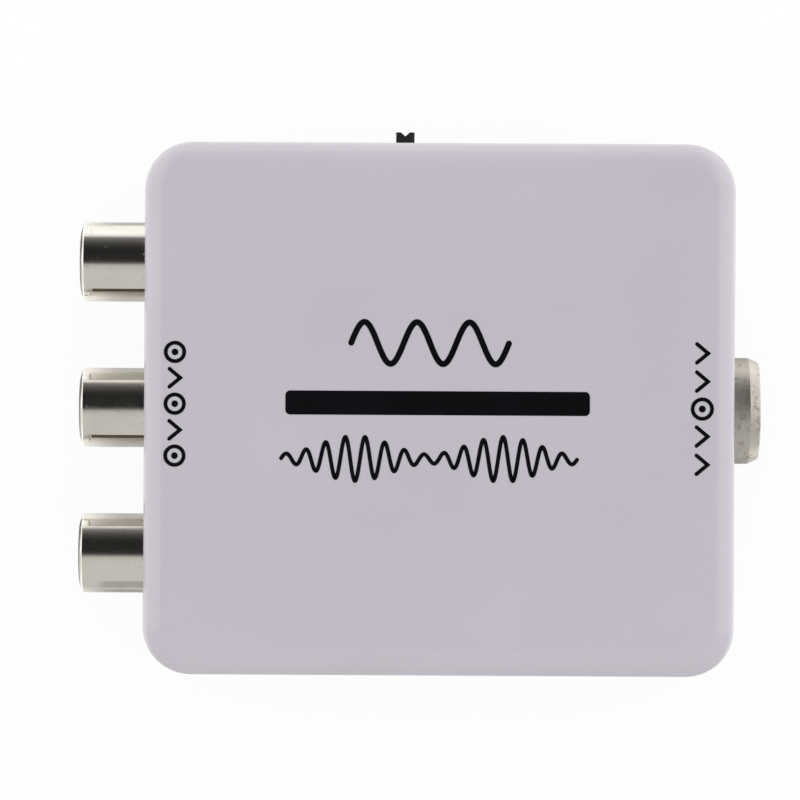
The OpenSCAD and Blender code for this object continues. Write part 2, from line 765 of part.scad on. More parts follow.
// Drawn barrel of a phono jack: rolled rim, four stepped flutes, and a leg down through the board
module rca_barrel(y) color(nickel_color) {
    barrel = rca_seat_floor - rca_front;
    outside = rca_shoulder - rca_front;
    slope = [for (at = rca_rim_shares) [rca_r - at.x * rca_rim_width, at.y * rca_rim_depth]];
    flute_r = rca_r - flute_depth;
    flute_edge_r = sqrt(pow(rca_r, 2) - pow(flute_width / 2, 2));
    translate([rca_front, y, axis_z]) rotate([0, 90, 0]) difference() {
        rotate_extrude() difference() {
            union() {
                polygon(concat([[0, outside], [0, 0]], slope, [[rca_r, outside]]));
                square([rca_stem_r, barrel]);
            }
            translate([0, -cut]) square([rca_lip_r, barrel + 2 * cut]);
            translate([0, rca_metal]) square([rca_inner_r, barrel]);
        }
        for (top = [0, 180], side = [0, 1]) rotate(top) mirror([0, side]) rotate(flute_angle) intersection() {
            rotate([90, 0, 0]) linear_extrude(2 * flute_width, center = true) polygon([
                [rca_r + cut, flute_start],
                [rca_r + cut, barrel],
                [flute_r, barrel],
                [flute_r, flute_start + flute_slope],
                [rca_r, flute_start]
            ]);
            linear_extrude(barrel) polygon([
                [flute_r, -flute_width / 2],
                [rca_r + cut, -flute_width / 2],
                [rca_r + cut, flute_width / 2],
                [flute_edge_r, flute_width / 2]
            ]);
        }
    }
    legs([[rca_leg_x, y]], rca_leg_section, axis_z - rca_inner_r - rca_metal / 2);
}

// Coloured insert with the funnel and bore for the plug's pin
module rca_insert(y, tint) color(tint) {
    length = rca_seat_floor - rca_insert_front;
    translate([rca_insert_front, y, axis_z]) rotate([0, 90, 0]) difference() {
        cylinder(h = length, r = rca_insert_r);
        translate([0, 0, -cut]) cylinder(h = length + 2 * cut, d = rca_bore_d);
        cylinder(h = rca_funnel, r1 = rca_bore_d / 2 + rca_funnel, d2 = rca_bore_d);
        translate([0, 0, rca_funnel + rca_plain_bore]) cylinder(h = length, r = rca_contact_r + running);
    }
}

// Split tube that grips the plug's pin, with its tail down behind the block
module rca_contact(y) color(tin_color) {
    length = rca_block_back - rca_contact_front;
    translate([rca_contact_front, y, axis_z]) rotate([0, 90, 0]) difference() {
        cylinder(h = length, r = rca_contact_r);
        translate([0, 0, -cut]) cylinder(h = length + 2 * cut, r = rca_contact_bore_r);
        for (a = [0, 90]) rotate(a)
            translate([-rca_contact_r - cut, -rca_contact_slit / 2, -cut])
                cube([2 * (rca_contact_r + cut), rca_contact_slit, rca_contact_slit_length + cut]);
    }
    translate([0, y, 0]) axial_bar(rca_block_back, rca_block_back + rca_leg_metal, rca_contact_r);
    legs([[rca_tail_x, y]], rca_tail_section, axis_z);
}

module rca_barrel_yellow() rca_barrel(rca_rows[0]);
module rca_barrel_white() rca_barrel(rca_rows[1]);
module rca_barrel_red() rca_barrel(rca_rows[2]);
module rca_insert_yellow() rca_insert(rca_rows[0], [0.93, 0.78, 0.12]);
module rca_insert_white() rca_insert(rca_rows[1], [0.93, 0.93, 0.91]);
module rca_insert_red() rca_insert(rca_rows[2], [0.78, 0.1, 0.1]);
module rca_contact_yellow() rca_contact(rca_rows[0]);
module rca_contact_white() rca_contact(rca_rows[1]);
module rca_contact_red() rca_contact(rca_rows[2]);

// Cast body of the aerial socket: tapered barrel, square block and four legs
module rf_body() color(nickel_color) {
    barrel = rf_mouth - rf_block_front;
    block_top = axis_z + rf_block_rise;
    difference() {
        union() {
            translate([rf_block_front, 0, axis_z]) rotate([0, 90, 0]) rotate_extrude() polygon([
                [0, 0],
                [rf_r, 0],
                [rf_r, barrel - rf_taper_length],
                [rf_r - rf_taper_drop + rf_rim_chamfer / 2, barrel - rf_rim_chamfer],
                [rf_r - rf_taper_drop - rf_rim_chamfer / 2, barrel],
                [0, barrel]
            ]);
            translate([rf_block_back, -rf_block_width / 2, board_top])
                cube([rf_block_depth, rf_block_width, block_top - board_top]);
        }
        axial_bar(rf_bore_floor, rf_mouth + cut, rf_bore_r);
        axial_bar(rf_block_back - cut, rf_mouth, rf_stem_r + running);
        for (side = [-1, 1]) translate([rf_block_back, side * rf_block_width / 2, block_top])
            rotate([0, 90, 0]) rotate(45)
                cube([rf_block_edge, rf_block_edge, 4 * rf_block_depth], center = true);
    }
    legs(rf_legs, rf_leg_section, board_top + running);
}

// Moulded disc, hub and stem that hold the centre contact
module rf_insulator() color([0.9, 0.9, 0.88]) {
    bore_r = rf_contact_d / 2;
    difference() {
        union() {
            axial_bar(rf_bore_floor, rf_bore_floor + rf_disc_thickness, rf_bore_r - running);
            axial_bar(rf_bore_floor, rf_bore_floor + rf_disc_thickness + rf_hub_height, rf_hub_r);
            axial_bar(rf_block_back, rf_bore_floor + rf_disc_thickness, rf_stem_r);
        }
        axial_bar(rf_block_back - cut, rf_mouth, bore_r + running);
    }
}

// Split centre contact, with its tail down behind the block
module rf_contact() color(tin_color) {
    contact_r = rf_contact_d / 2;
    difference() {
        axial_bar(rf_block_back - rf_tail_metal, rf_contact_tip, contact_r);
        axial_bar(rf_bore_floor, rf_mouth, rf_contact_bore_d / 2);
        translate([rf_contact_tip - rf_contact_slit_length, -rf_contact_slit / 2, axis_z - rf_contact_d])
            cube([rf_contact_slit_length + cut, rf_contact_slit, 2 * rf_contact_d]);
    }
    legs(rf_tail, rf_tail_section, axis_z);
}

// Folded shell of the power socket
module usb_shell() color(tin_color) {
    difference() {
        usb_bar(usb_rear, usb_mouth, 0);
        usb_bar(usb_rear - cut, usb_mouth + cut, -usb_metal);
    }
    legs(usb_legs, usb_leg_section, usb_z);
}

usb_block_front = usb_mouth - usb_plug_depth;

// Moulded back and tongue of the power socket
module usb_insulator() color(black_color) {
    usb_bar(usb_rear, usb_block_front, -usb_metal - running);
    translate([usb_x - usb_tongue_width / 2, usb_block_front, usb_z - usb_tongue_thickness / 2])
        cube([usb_tongue_width, usb_plug_depth - usb_tongue_setback, usb_tongue_thickness]);
}

// Contact strips under the tongue, with their tails behind the shell
module usb_contacts() color(gold_color) {
    tongue_under = usb_z - usb_tongue_thickness / 2;
    for (i = [0:usb_contact_count - 1]) {
        x = usb_x + (i - (usb_contact_count - 1) / 2) * usb_contact_pitch - usb_contact_width / 2;
        translate([x, usb_block_front, tongue_under - usb_contact_metal])
            cube([usb_contact_width, usb_plug_depth - usb_tongue_setback - usb_contact_setback, usb_contact_metal]);
        translate([x, usb_rear - usb_contact_metal, board_top])
            cube([usb_contact_width, usb_contact_metal, usb_height / 2]);
        translate([x, usb_rear - usb_tail_reach, board_top])
            cube([usb_contact_width, usb_tail_reach, usb_contact_metal]);
    }
}

// Folded steel frame of the switch, with a window for the lever and two tabs
module switch_frame() color(tin_color) {
    difference() {
        translate([switch_x - switch_length / 2, switch_back, board_top])
            cube([switch_length, switch_depth, switch_height]);
        translate([switch_x - switch_length / 2 + switch_metal, switch_back + switch_metal, board_top - cut])
            cube([switch_length - 2 * switch_metal, switch_depth - 2 * switch_metal,
                  switch_height - switch_metal + cut]);
        translate([switch_x - switch_window_width / 2, slider_front - cut, lever_z - switch_window_height / 2])
            cube([switch_window_width, switch_depth, switch_window_height]);
    }
    legs(switch_tabs, switch_tab_section, switch_base_top);
}

// Laminate base that carries the terminals
module switch_base() color([0.45, 0.27, 0.14]) {
    difference() {
        translate([switch_x - switch_length / 2 + switch_metal, switch_back + switch_metal, board_top])
            cube([switch_length - 2 * switch_metal, switch_depth - 2 * switch_metal, switch_base_height]);
        legs(switch_terminal_places, switch_terminal_section, switch_base_top + cut);
    }
}

module switch_terminals() color(tin_color) {
    legs(switch_terminal_places, switch_terminal_section, switch_base_top + terminal_head);
}

// Moulded slider and lever, standing at the end of its travel away from the power socket
module switch_slider() color(black_color) {
    difference() {
        union() {
            translate([lever_x - slider_length / 2, slider_back, slider_bottom])
                cube([slider_length, slider_front - slider_back, slider_top - slider_bottom]);
            translate([lever_x - lever_width / 2, slider_back, lever_z - lever_height / 2])
                cube([lever_width, lever_tip - slider_back, lever_height]);
        }
        translate([lever_x, lever_tip, lever_z]) linear_extrude(2 * lever_height, center = true) polygon([
            [-notch_width / 2, 0],
            [0, -notch_depth],
            [notch_width / 2, 0],
            [notch_width / 2, cut],
            [-notch_width / 2, cut]
        ]);
    }
}

// Spring bridge under the slider, which joins two of the three terminals
module switch_wiper() color(gold_color) {
    half = (switch_pitch + terminal_width) / 2;
    foot_end = half - wiper_foot;
    translate([lever_x, (switch_front + switch_back + wiper_width) / 2, wiper_bottom])
        rotate([90, 0, 0]) linear_extrude(wiper_width) polygon([
            [-half, 0],
            [-foot_end, 0],
            [-foot_end + wiper_metal, wiper_height - wiper_metal],
            [foot_end - wiper_metal, wiper_height - wiper_metal],
            [foot_end, 0],
            [half, 0],
            [half, wiper_metal],
            [foot_end + wiper_metal, wiper_metal],
            [foot_end, wiper_height],
            [-foot_end, wiper_height],
            [-foot_end - wiper_metal, wiper_metal],
            [-half, wiper_metal]
        ]);
}

// Screening fence soldered round the modulator chip
module shield_fence() color(tin_color) {
    translate([shield_x, shield_y, board_top]) linear_extrude(shield_height) difference() {
        plan(shield_length, shield_depth, shield_corner);
        plan(shield_length - 2 * shield_metal, shield_depth - 2 * shield_metal, shield_corner - shield_metal);
    }
    legs(shield_tabs, shield_tab_section, board_top + shield_lip);
}

// Pressed lid that clips over the fence
module shield_lid() color(tin_color) {
    translate([shield_x, shield_y, board_top + shield_height - shield_lip]) difference() {
        linear_extrude(shield_lip + shield_metal)
            plan(shield_outer_length, shield_outer_depth, shield_corner + shield_grown / 2);
        translate([0, 0, -cut]) linear_extrude(shield_lip + cut)
            plan(shield_length + 2 * running, shield_depth + 2 * running, shield_corner + running);
    }
}

module modulator_chip() color(black_color) {
    translate([chip_x, chip_y, board_top + chip_standoff]) difference() {
        translate([-chip_length / 2, -chip_width / 2, 0]) cube([chip_length, chip_width, chip_height]);
        for (side = [-1, 1]) translate([0, side * chip_width / 2, chip_height]) rotate([45, 0, 0])
            cube([chip_length + cut, chip_edge, chip_edge], center = true);
    }
}

// Gull-wing leads along both long sides of the chip
module modulator_leads() color(tin_color) {
    shoulder = chip_lead_reach - chip_lead_foot;
    for (side = [0, 1], i = [0:chip_lead_count - 1])
        translate([chip_x + (i - (chip_lead_count - 1) / 2) * chip_lead_pitch, chip_y, board_top])
            mirror([0, side, 0]) translate([-chip_lead_width / 2, chip_width / 2, 0])
                rotate([90, 0, 90]) linear_extrude(chip_lead_width) polygon([
                    [0, chip_lead_height],
                    [shoulder, chip_lead_height],
                    [shoulder, chip_lead_metal],
                    [chip_lead_reach, chip_lead_metal],
                    [chip_lead_reach, 0],
                    [shoulder - chip_lead_metal, 0],
                    [shoulder - chip_lead_metal, chip_lead_height - chip_lead_metal],
                    [0, chip_lead_height - chip_lead_metal]
                ]);
}

// Square can of the tuning coil, open below, with a hole over the core
module coil_can() color(tin_color) {
    translate([coil_x, coil_y, board_top]) difference() {
        linear_extrude(coil_height) plan(coil_size, coil_size, coil_corner);
        translate([0, 0, -cut]) linear_extrude(coil_height - coil_metal + cut)
            plan(coil_size - 2 * coil_metal, coil_size - 2 * coil_metal, coil_corner - coil_metal);
        cylinder(h = coil_height + cut, d = coil_hole_d);
    }
    legs(coil_tabs, coil_tab_section, board_top + coil_flange_height);
}

// Winding former: square foot, tube and a band of winding
module coil_former() color([0.72, 0.4, 0.2]) {
    foot = coil_size - 2 * coil_metal - 2 * running;
    tube_d = coil_core_d + 2 * coil_former_wall;
    translate([coil_x, coil_y, board_top]) difference() {
        union() {
            linear_extrude(coil_flange_height) plan(foot, foot, coil_corner - coil_metal - running);
            cylinder(h = coil_height - coil_metal - coil_core_drop, d = tube_d);
            cylinder(h = coil_flange_height + coil_winding_height, d = tube_d + 2 * coil_winding_thickness);
        }
        translate([0, 0, coil_flange_height / 2]) cylinder(h = coil_height, d = coil_core_d + 2 * running);
    }
}

// Slotted ferrite core that tunes the coil
module coil_core() color([0.2, 0.19, 0.19]) {
    core_top = coil_height - coil_metal - coil_core_drop;
    translate([coil_x, coil_y, board_top + core_top - coil_core_height]) difference() {
        cylinder(h = coil_core_height, d = coil_core_d);
        translate([-coil_core_d, -coil_slot_width / 2, coil_core_height - coil_slot_depth])
            cube([2 * coil_core_d, coil_slot_width, coil_slot_depth + cut]);
    }
}

// Crystal in its oval can
module crystal() color(tin_color) {
    translate([crystal_x, crystal_y, board_top]) {
        linear_extrude(crystal_flange_height)
            plan(crystal_length + 2 * crystal_flange, crystal_width + 2 * crystal_flange,
                 crystal_width / 2 + crystal_flange - running);
        linear_extrude(crystal_height) plan(crystal_length, crystal_width, crystal_width / 2 - running);
    }
    for (side = [-1, 1]) translate([crystal_x + side * crystal_lead_pitch / 2, crystal_y, board_bottom - leg_out])
        cylinder(h = board_thickness + leg_out + running, d = crystal_lead_d);
}

// Upright capacitors: beaded can with a scored vent on its top
module capacitors() color([0.12, 0.14, 0.22]) {
    can_r = capacitor_d / 2;
    for (at = capacitor_places) translate([at.x, at.y, board_top]) difference() {
        rotate_extrude() difference() {
            translate([0, capacitor_height]) mirror([0, 1]) side_profile(can_r, capacitor_height, capacitor_edge);
            translate([can_r + capacitor_bead_depth, capacitor_bead_height]) circle(2 * capacitor_bead_depth);
        }
        for (a = [0, 90]) rotate(a)
            translate([-can_r / 2, -capacitor_vent_width / 2, capacitor_height - capacitor_vent_depth])
                cube([can_r, capacitor_vent_width, capacitor_vent_depth + cut]);
    }
}

module capacitor_leads() color(tin_color) {
    for (at = capacitor_places, side = [-1, 1])
        translate([at.x + side * capacitor_lead_pitch / 2, at.y, board_bottom - leg_out])
            cylinder(h = board_thickness + leg_out, d = capacitor_lead_d);
}

module regulator() color(black_color) {
    translate([regulator_x, regulator_y, board_top + regulator_lead_metal]) difference() {
        translate([-regulator_length / 2, -regulator_width / 2, 0])
            cube([regulator_length, regulator_width, regulator_height - regulator_lead_metal]);
        for (side = [-1, 1])
            translate([0, side * regulator_width / 2, regulator_height - regulator_lead_metal]) rotate([45, 0, 0])
                cube([regulator_length + cut, regulator_edge, regulator_edge], center = true);
    }
}

// Three leads on one side of the regulator and its cooling tab on the other
module regulator_leads() color(tin_color) {
    for (i = [-1:1])
        translate([regulator_x + i * regulator_lead_pitch - regulator_lead_width / 2,
                   regulator_y - regulator_width / 2 - regulator_lead_reach, board_top])
            cube([regulator_lead_width, 2 * regulator_lead_reach, regulator_lead_metal]);
    translate([regulator_x - regulator_lead_pitch / 2, regulator_y, board_top])
        cube([regulator_lead_pitch, regulator_width / 2 + regulator_lead_reach, regulator_lead_metal]);
}

// Rows of small chips, soldered flat on the board
module chip_rows(rows, height) {
    for (row = rows, i = [0:row[1] - 1])
        translate([row[0].x - small_chip_length / 2, row[0].y - small_chip_width / 2 + i * row[2], board_top])
            cube([small_chip_length, small_chip_width, height]);
}

module chip_resistors() color(black_color) chip_rows(resistor_rows, small_chip_height);
module chip_capacitors() color([0.66, 0.52, 0.36]) chip_rows(small_capacitor_rows, small_chip_tall);

bottom_shell();
top_shell();
board_screws();
circuit_board();
rca_block();
rca_barrel_yellow();
rca_barrel_white();
rca_barrel_red();
rca_insert_yellow();
rca_insert_white();
rca_insert_red();
rca_contact_yellow();
rca_contact_white();
rca_contact_red();
rf_body();
rf_insulator();
rf_contact();
usb_shell();
usb_insulator();
usb_contacts();
switch_frame();
switch_base();
switch_terminals();
switch_slider();
switch_wiper();
shield_fence();
shield_lid();
modulator_chip();
modulator_leads();
coil_can();
coil_former();
coil_core();
crystal();
capacitors();
capacitor_leads();
regulator();
regulator_leads();
chip_resistors();
chip_capacitors();
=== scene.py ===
import math

import bmesh
import bpy
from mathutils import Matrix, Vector


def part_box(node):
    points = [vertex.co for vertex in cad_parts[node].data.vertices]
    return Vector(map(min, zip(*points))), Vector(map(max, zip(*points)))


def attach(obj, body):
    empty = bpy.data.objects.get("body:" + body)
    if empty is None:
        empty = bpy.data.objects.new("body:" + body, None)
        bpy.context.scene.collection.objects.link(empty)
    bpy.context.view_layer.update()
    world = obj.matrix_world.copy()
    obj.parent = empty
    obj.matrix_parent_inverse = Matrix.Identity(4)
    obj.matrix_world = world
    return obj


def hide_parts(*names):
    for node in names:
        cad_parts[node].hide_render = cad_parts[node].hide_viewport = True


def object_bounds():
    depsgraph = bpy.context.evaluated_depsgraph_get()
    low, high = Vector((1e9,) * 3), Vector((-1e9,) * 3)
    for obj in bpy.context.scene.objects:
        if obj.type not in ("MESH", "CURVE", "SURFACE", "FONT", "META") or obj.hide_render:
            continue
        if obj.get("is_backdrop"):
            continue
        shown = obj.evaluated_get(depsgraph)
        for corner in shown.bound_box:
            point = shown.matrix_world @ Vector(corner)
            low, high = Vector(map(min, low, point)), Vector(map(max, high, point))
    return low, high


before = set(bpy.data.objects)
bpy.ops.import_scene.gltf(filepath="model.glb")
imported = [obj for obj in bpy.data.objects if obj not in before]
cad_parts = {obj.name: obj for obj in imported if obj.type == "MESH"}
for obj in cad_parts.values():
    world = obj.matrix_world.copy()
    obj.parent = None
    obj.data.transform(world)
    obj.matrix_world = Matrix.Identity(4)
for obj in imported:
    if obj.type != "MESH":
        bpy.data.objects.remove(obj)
bpy.context.view_layer.update()
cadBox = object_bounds()

mm = 0.001
scene = bpy.context.scene
scene.view_settings.view_transform = "Standard"

# Camera, found from the outline of the case, the spacing of the jacks and the lever; millimetres, degrees
cameraView = {"x": -4.06, "y": 0.94, "height": 510, "lens": 214.65, "nearest": 10, "turn": 0.32}

cameraData = bpy.data.cameras.new("camera")
cameraData.lens = cameraView["lens"]
cameraData.clip_start = cameraView["nearest"] * mm
camera = bpy.data.objects.new("camera", cameraData)
camera.location = Vector((cameraView["x"], cameraView["y"], cameraView["height"])) * mm
camera.rotation_euler = (0, 0, math.radians(cameraView["turn"]))
scene.collection.objects.link(camera)
scene.camera = camera
print("camera ready")


# A socket that takes part in sums: every operator adds its Math node
class Wire:
    def __init__(self, graph, socket):
        self.graph = graph
        self.socket = socket

    def math(self, operation, *values):
        return self.graph.node("ShaderNodeMath", {"operation": operation}, dict(enumerate(values)))

    def __add__(self, other):
        return self.math("ADD", self, other)

    def __radd__(self, other):
        return self.math("ADD", other, self)

    def __sub__(self, other):
        return self.math("SUBTRACT", self, other)

    def __rsub__(self, other):
        return self.math("SUBTRACT", other, self)

    def __mul__(self, other):
        return self.math("MULTIPLY", self, other)

    def __rmul__(self, other):
        return self.math("MULTIPLY", other, self)

    def __truediv__(self, other):
        return self.math("DIVIDE", self, other)

    def __rtruediv__(self, other):
        return self.math("DIVIDE", other, self)

    def __pow__(self, other):
        return self.math("POWER", self, other)

    def __lt__(self, other):
        return self.math("LESS_THAN", self, other)

    def __gt__(self, other):
        return self.math("GREATER_THAN", self, other)

    def __abs__(self):
        return self.math("ABSOLUTE", self)

    def __round__(self):
        return self.math("ROUND", self)

    def sine(self):
        return self.math("SINE", self)

    def larger(self, other):
        return self.math("MAXIMUM", self, other)

    def turnFrom(self, other):  # radians from the axis of other towards the axis of this one
        return self.math("ARCTAN2", self, other)

    def step(self, start, end):  # 0 before start, 1 past end, smooth between, either way round
        inputs = {"Value": self, "From Min": start, "From Max": end}
        return self.graph.node("ShaderNodeMapRange", {"interpolation_type": "SMOOTHSTEP"}, inputs)


# The nodes of one material or of the world
class Graph:
    def __init__(self, tree):
        self.tree = tree
        self.tree.nodes.clear()

    def node(self, kind, settings=None, inputs=None, output=0):
        made = self.tree.nodes.new(kind)
        for key, value in (settings or {}).items():
            if key == "stops":
                self.fillRamp(made.color_ramp, value)
            else:
                setattr(made, key, value)
        for key, value in (inputs or {}).items():
            if isinstance(value, Wire):
                self.tree.links.new(value.socket, made.inputs[key])
            else:
                made.inputs[key].default_value = value
        return Wire(self, made.outputs[output] if made.outputs else None)

    def fillRamp(self, ramp, stops):
        while len(ramp.elements) < len(stops):
            ramp.elements.new(1)
        for element, (place, colour) in zip(ramp.elements, stops):
            element.position = place
            element.color = colour

    def place(self, scale=(1, 1, 1)):  # the point on the piece, in the part's own frame, in metres
        where = self.node("ShaderNodeTexCoord", output="Object")
        return self.node("ShaderNodeMapping", None, {"Vector": where, "Scale": scale})

    def noise(self, scale, detail=3, roughness=0.5, stretch=(1, 1, 1)):
        inputs = {"Vector": self.place(stretch), "Scale": scale, "Detail": detail, "Roughness": roughness}
        return self.node("ShaderNodeTexNoise", None, inputs, "Fac")

    def split(self, vector):
        parts = self.node("ShaderNodeSeparateXYZ", None, {0: vector})
        return [Wire(self, socket) for socket in parts.socket.node.outputs]

    def mix(self, factor, first, second, blend="MIX"):
        settings = {"data_type": "RGBA", "blend_type": blend, "clamp_factor": True}
        return self.node("ShaderNodeMix", settings, {0: factor, 6: first, 7: second}, 2)

    def bump(self, height, strength, distance):
        inputs = {"Height": height, "Strength": strength, "Distance": distance * mm}
        return self.node("ShaderNodeBump", None, inputs)


class Finish(Graph):
    def __init__(self, name, **uniform):
        self.material = bpy.data.materials.new(name)
        self.material.use_nodes = True
        super().__init__(self.material.node_tree)
        self.uniform = uniform

    def close(self, **varying):
        inputs = dict(self.uniform)
        inputs.update(varying)
        inputs = {key.replace("_", " "): value for key, value in inputs.items()}
        shader = self.node("ShaderNodeBsdfPrincipled", None, inputs)
        self.node("ShaderNodeOutputMaterial", None, {"Surface": shader})
        return self.material


def srgb(red, green, blue):  # a colour read off a screen, as the shader's linear colour
    def linear(value):
        value /= 255
        return value / 12.92 if value <= 0.04045 else ((value + 0.055) / 1.055) ** 2.4
    return (linear(red), linear(green), linear(blue), 1)


def tone(colour, share, lift=0):  # the same colour, lighter or darker
    return [min(1, part * share + lift) for part in colour[:3]] + [1]


# Moulded glossy plastic: cloudy colour, faint orange peel and a few hairline scratches
gloss = {"cloud": 0.04, "smear": 0.05, "scratch": 0.05, "ripple": 2, "peel": 0.06, "peelDepth": 0.02}


def glossyPlastic(name, colour, roughness=0.16):
    finish = Finish(name, IOR=1.5)
    clouds = finish.noise(60, detail=2)
    fine = finish.noise(1500, detail=2)
    ripple = finish.noise(260, detail=1)
    base = finish.mix(clouds, tone(colour, 1 - gloss["cloud"]), tone(colour, 1 + gloss["cloud"]))
    smears = finish.noise(220, detail=4, roughness=0.6, stretch=(1, 0.25, 1)).step(0.45, 0.75)
    scratches = finish.noise(900, detail=1, stretch=(1, 0.03, 1)).step(0.72, 0.8)
    rough = roughness + smears * gloss["smear"] + scratches * gloss["scratch"]
    normal = finish.bump(fine + ripple * gloss["ripple"], gloss["peel"], gloss["peelDepth"])
    return finish.close(Base_Color=base, Roughness=rough, Normal=normal)


# Painted shade in the jacks' flutes and on their rims, and dull flute floors: millimetres in the part's own
# frame, colours, added roughness
jack = {
    "pitch": 15.24,
    "height": 10,
    "fluteAngle": 52,  # degrees from straight up towards the front
    "fluteFront": -36.2,
    # the rims' front edge: where its painted dark reflection runs, and its colour
    "rimShadeRun": (-37.36, -37.4),
    "rimShade": (0.2, 0.19, 0.17, 1),
    # colour of the painted shade in the flutes
    "paintedShade": (0.17, 0.14, 0.09, 1),
    "shadeRow": -10,  # the two jacks behind this line have painted shade in a flute
    "shadeEdge": (-0.08, 0.09),
    "shadeEnd": 0.62,
    "shadeReach": (3.8, 4.09),
    # roughness added on the rims' painted dark reflection and in the shaded flute steps
    "shadeRough": 0.3,
    "floorFront": -36.4,
    "floorLeast": 3.9,
    "floorEdge": (4.145, 4.12),
    "brightRow": 16.24,
    "dull": 0.16,
    # painted shade over the floor of the front jack's forward flute: its share, and where it grows
    "floorShade": 0.35,
    "floorShadeRun": (-36.2, -34.2),
}


def fromJack(y):  # distance from the middle of the nearest jack
    return y - round(y / jack["pitch"]) * jack["pitch"]


def jackShadeAndDullness(finish, base):
    x, y, z = [part / mm for part in finish.split(finish.place())]
    across = fromJack(y)
    up = z - jack["height"]
    turn = math.radians(jack["fluteAngle"])
    along = up * math.sin(turn) + across * math.cos(turn)
    out = up * math.cos(turn) - across * math.sin(turn)
    # painted shade sits in the step of the flutes that face forwards, on two of the jacks
    inner, outer = jack["shadeReach"]
    step = along.step(*jack["shadeEdge"]) * (along < jack["shadeEnd"]) * (out > inner) * (out < outer)
    step = step * (x > jack["fluteFront"]) * (y > jack["shadeRow"])
    base = finish.mix(step, base, jack["paintedShade"])
    # painted dark reflection on the front edge of the rim
    rimShade = x.step(*jack["rimShadeRun"])
    base = finish.mix(rimShade, base, jack["rimShade"])
    # stamping left the floors of the flutes dull, all but the rearmost
    radius = (across * across + up * up) ** 0.5
    floor = radius.step(*jack["floorEdge"]) * (radius > jack["floorLeast"]) * (x > jack["floorFront"])
    floor = floor * (y < jack["brightRow"])
    # and the one that faces forwards on the front jack has painted shade over its floor, growing from the
    # front of the flute towards the case
    floorShade = floor * (across < 0) * (y < jack["shadeRow"]) * x.step(*jack["floorShadeRun"])
    base = finish.mix(floorShade * jack["floorShade"], base, jack["paintedShade"])
    return base, floor * jack["dull"] + (rimShade + step) * jack["shadeRough"]


# Plated sheet metal drawn along its axis: long fine lines, soft smudges, a few pits, and painted shade in the
# flutes and on the rims
plate = {"dark": 0.8, "stain": 0.4, "pitStain": 0.5, "smudge": 0.06, "pitRough": 0.2,
         "relief": 0.1, "depth": 0.01}


def platedMetal(name, colour, roughness=0.1, lines=0.08, along=(0.04, 1, 1), flutes=False):
    finish = Finish(name, Metallic=1)
    drawn = finish.noise(2600, detail=2, stretch=along)
    smudge = finish.noise(240, roughness=0.6)
    pits = finish.noise(1900, detail=1).step(0.7, 0.78)
    stained = smudge.step(0.4, 0.8) * plate["stain"] + pits * plate["pitStain"]
    base = finish.mix(stained, colour, tone(colour, plate["dark"]))
    rough = roughness + smudge.step(0.45, 0.7) * plate["smudge"] + drawn * lines + pits * plate["pitRough"]
    if flutes:
        base, dullness = jackShadeAndDullness(finish, base)
        rough = rough + dullness
    normal = finish.bump(drawn - pits, plate["relief"], plate["depth"])
    return finish.close(Base_Color=base, Roughness=rough, Normal=normal)


# Cast and plated metal: grainy, dented, with darker hollows
cast = {"dark": (0.5, 0.46, 0.4), "hollow": 0.55, "stain": 0.25, "roughness": 0.4, "hollowRough": 0.15,
        "stainRough": 0.12, "dent": 1.5, "relief": 0.35, "depth": 0.05}


def castMetal(name, colour):
    finish = Finish(name, Metallic=1)
    grain = finish.noise(1100, detail=4, roughness=0.65)
    dents = finish.noise(420, detail=2, stretch=(0.7, 1, 1))
    stains = finish.noise(170, roughness=0.6, stretch=(0.5, 1, 1))
    hollow = grain.step(0.5, 0.32)
    dark = [part * share for part, share in zip(colour, cast["dark"])] + [1]
    base = finish.mix(hollow * cast["hollow"] + stains.step(0.55, 0.75) * cast["stain"], colour, dark)
    rough = cast["roughness"] + hollow * cast["hollowRough"] + stains * cast["stainRough"]
    normal = finish.bump(grain + dents * cast["dent"], cast["relief"], cast["depth"])
    return finish.close(Base_Color=base, Roughness=rough, Normal=normal)


# Matt plastic, sleeve or ceramic: grainy, slightly uneven colour
matt = {"light": 1.15, "lift": 0.004, "cloud": 0.6, "speckle": 0.4, "uneven": 0.15, "depth": 0.02}


def mattPlastic(name, colour, roughness=0.5, grain=1400, relief=0.15):
    finish = Finish(name, IOR=1.48)
    fine = finish.noise(grain, detail=2)
    clouds = finish.noise(130)
    lighter = tone(colour, matt["light"], matt["lift"])
    base = finish.mix(clouds * matt["cloud"] + fine * matt["speckle"], colour, lighter)
    rough = roughness + fine * matt["uneven"]
    return finish.close(Base_Color=base, Roughness=rough, Normal=finish.bump(fine, relief, matt["depth"]))


# Woven glass laminate under green lacquer, which is lighter over the copper
board = {"threads": 4200, "copper": 0.7, "weave": 0.08, "roughness": 0.32, "uneven": 0.05,
         "weaveRise": 0.1, "relief": 0.3, "depth": 0.04}


def boardLaminate(name, lacquer, overCopper):
    finish = Finish(name, IOR=1.52)
    x, y = finish.split(finish.place())[:2]
    weave = (x * board["threads"]).sine() * (y * board["threads"]).sine()
    copper = finish.noise(190, detail=2).step(0.47, 0.5)
    base = finish.mix(copper * board["copper"] + weave * board["weave"], lacquer, overCopper)
    rough = board["roughness"] + weave * board["uneven"]
    normal = finish.bump(copper + weave * board["weaveRise"], board["relief"], board["depth"])
    return finish.close(Base_Color=base, Roughness=rough, Normal=normal)


# Printed ink: slightly uneven black, a little rougher than the case
inkCoat = {"light": 1.8, "roughness": 0.14, "uneven": 0.08, "relief": 0.06, "depth": 0.01}


def printedInk(name, colour):
    finish = Finish(name, IOR=1.45)
    clouds = finish.noise(90, detail=2).step(0.3, 0.7)
    fine = finish.noise(1800, detail=2)
    base = finish.mix(clouds, colour, tone(colour, inkCoat["light"]))
    rough = inkCoat["roughness"] + fine * inkCoat["uneven"]
    normal = finish.bump(fine, inkCoat["relief"], inkCoat["depth"])
    return finish.close(Base_Color=base, Roughness=rough, Normal=normal)


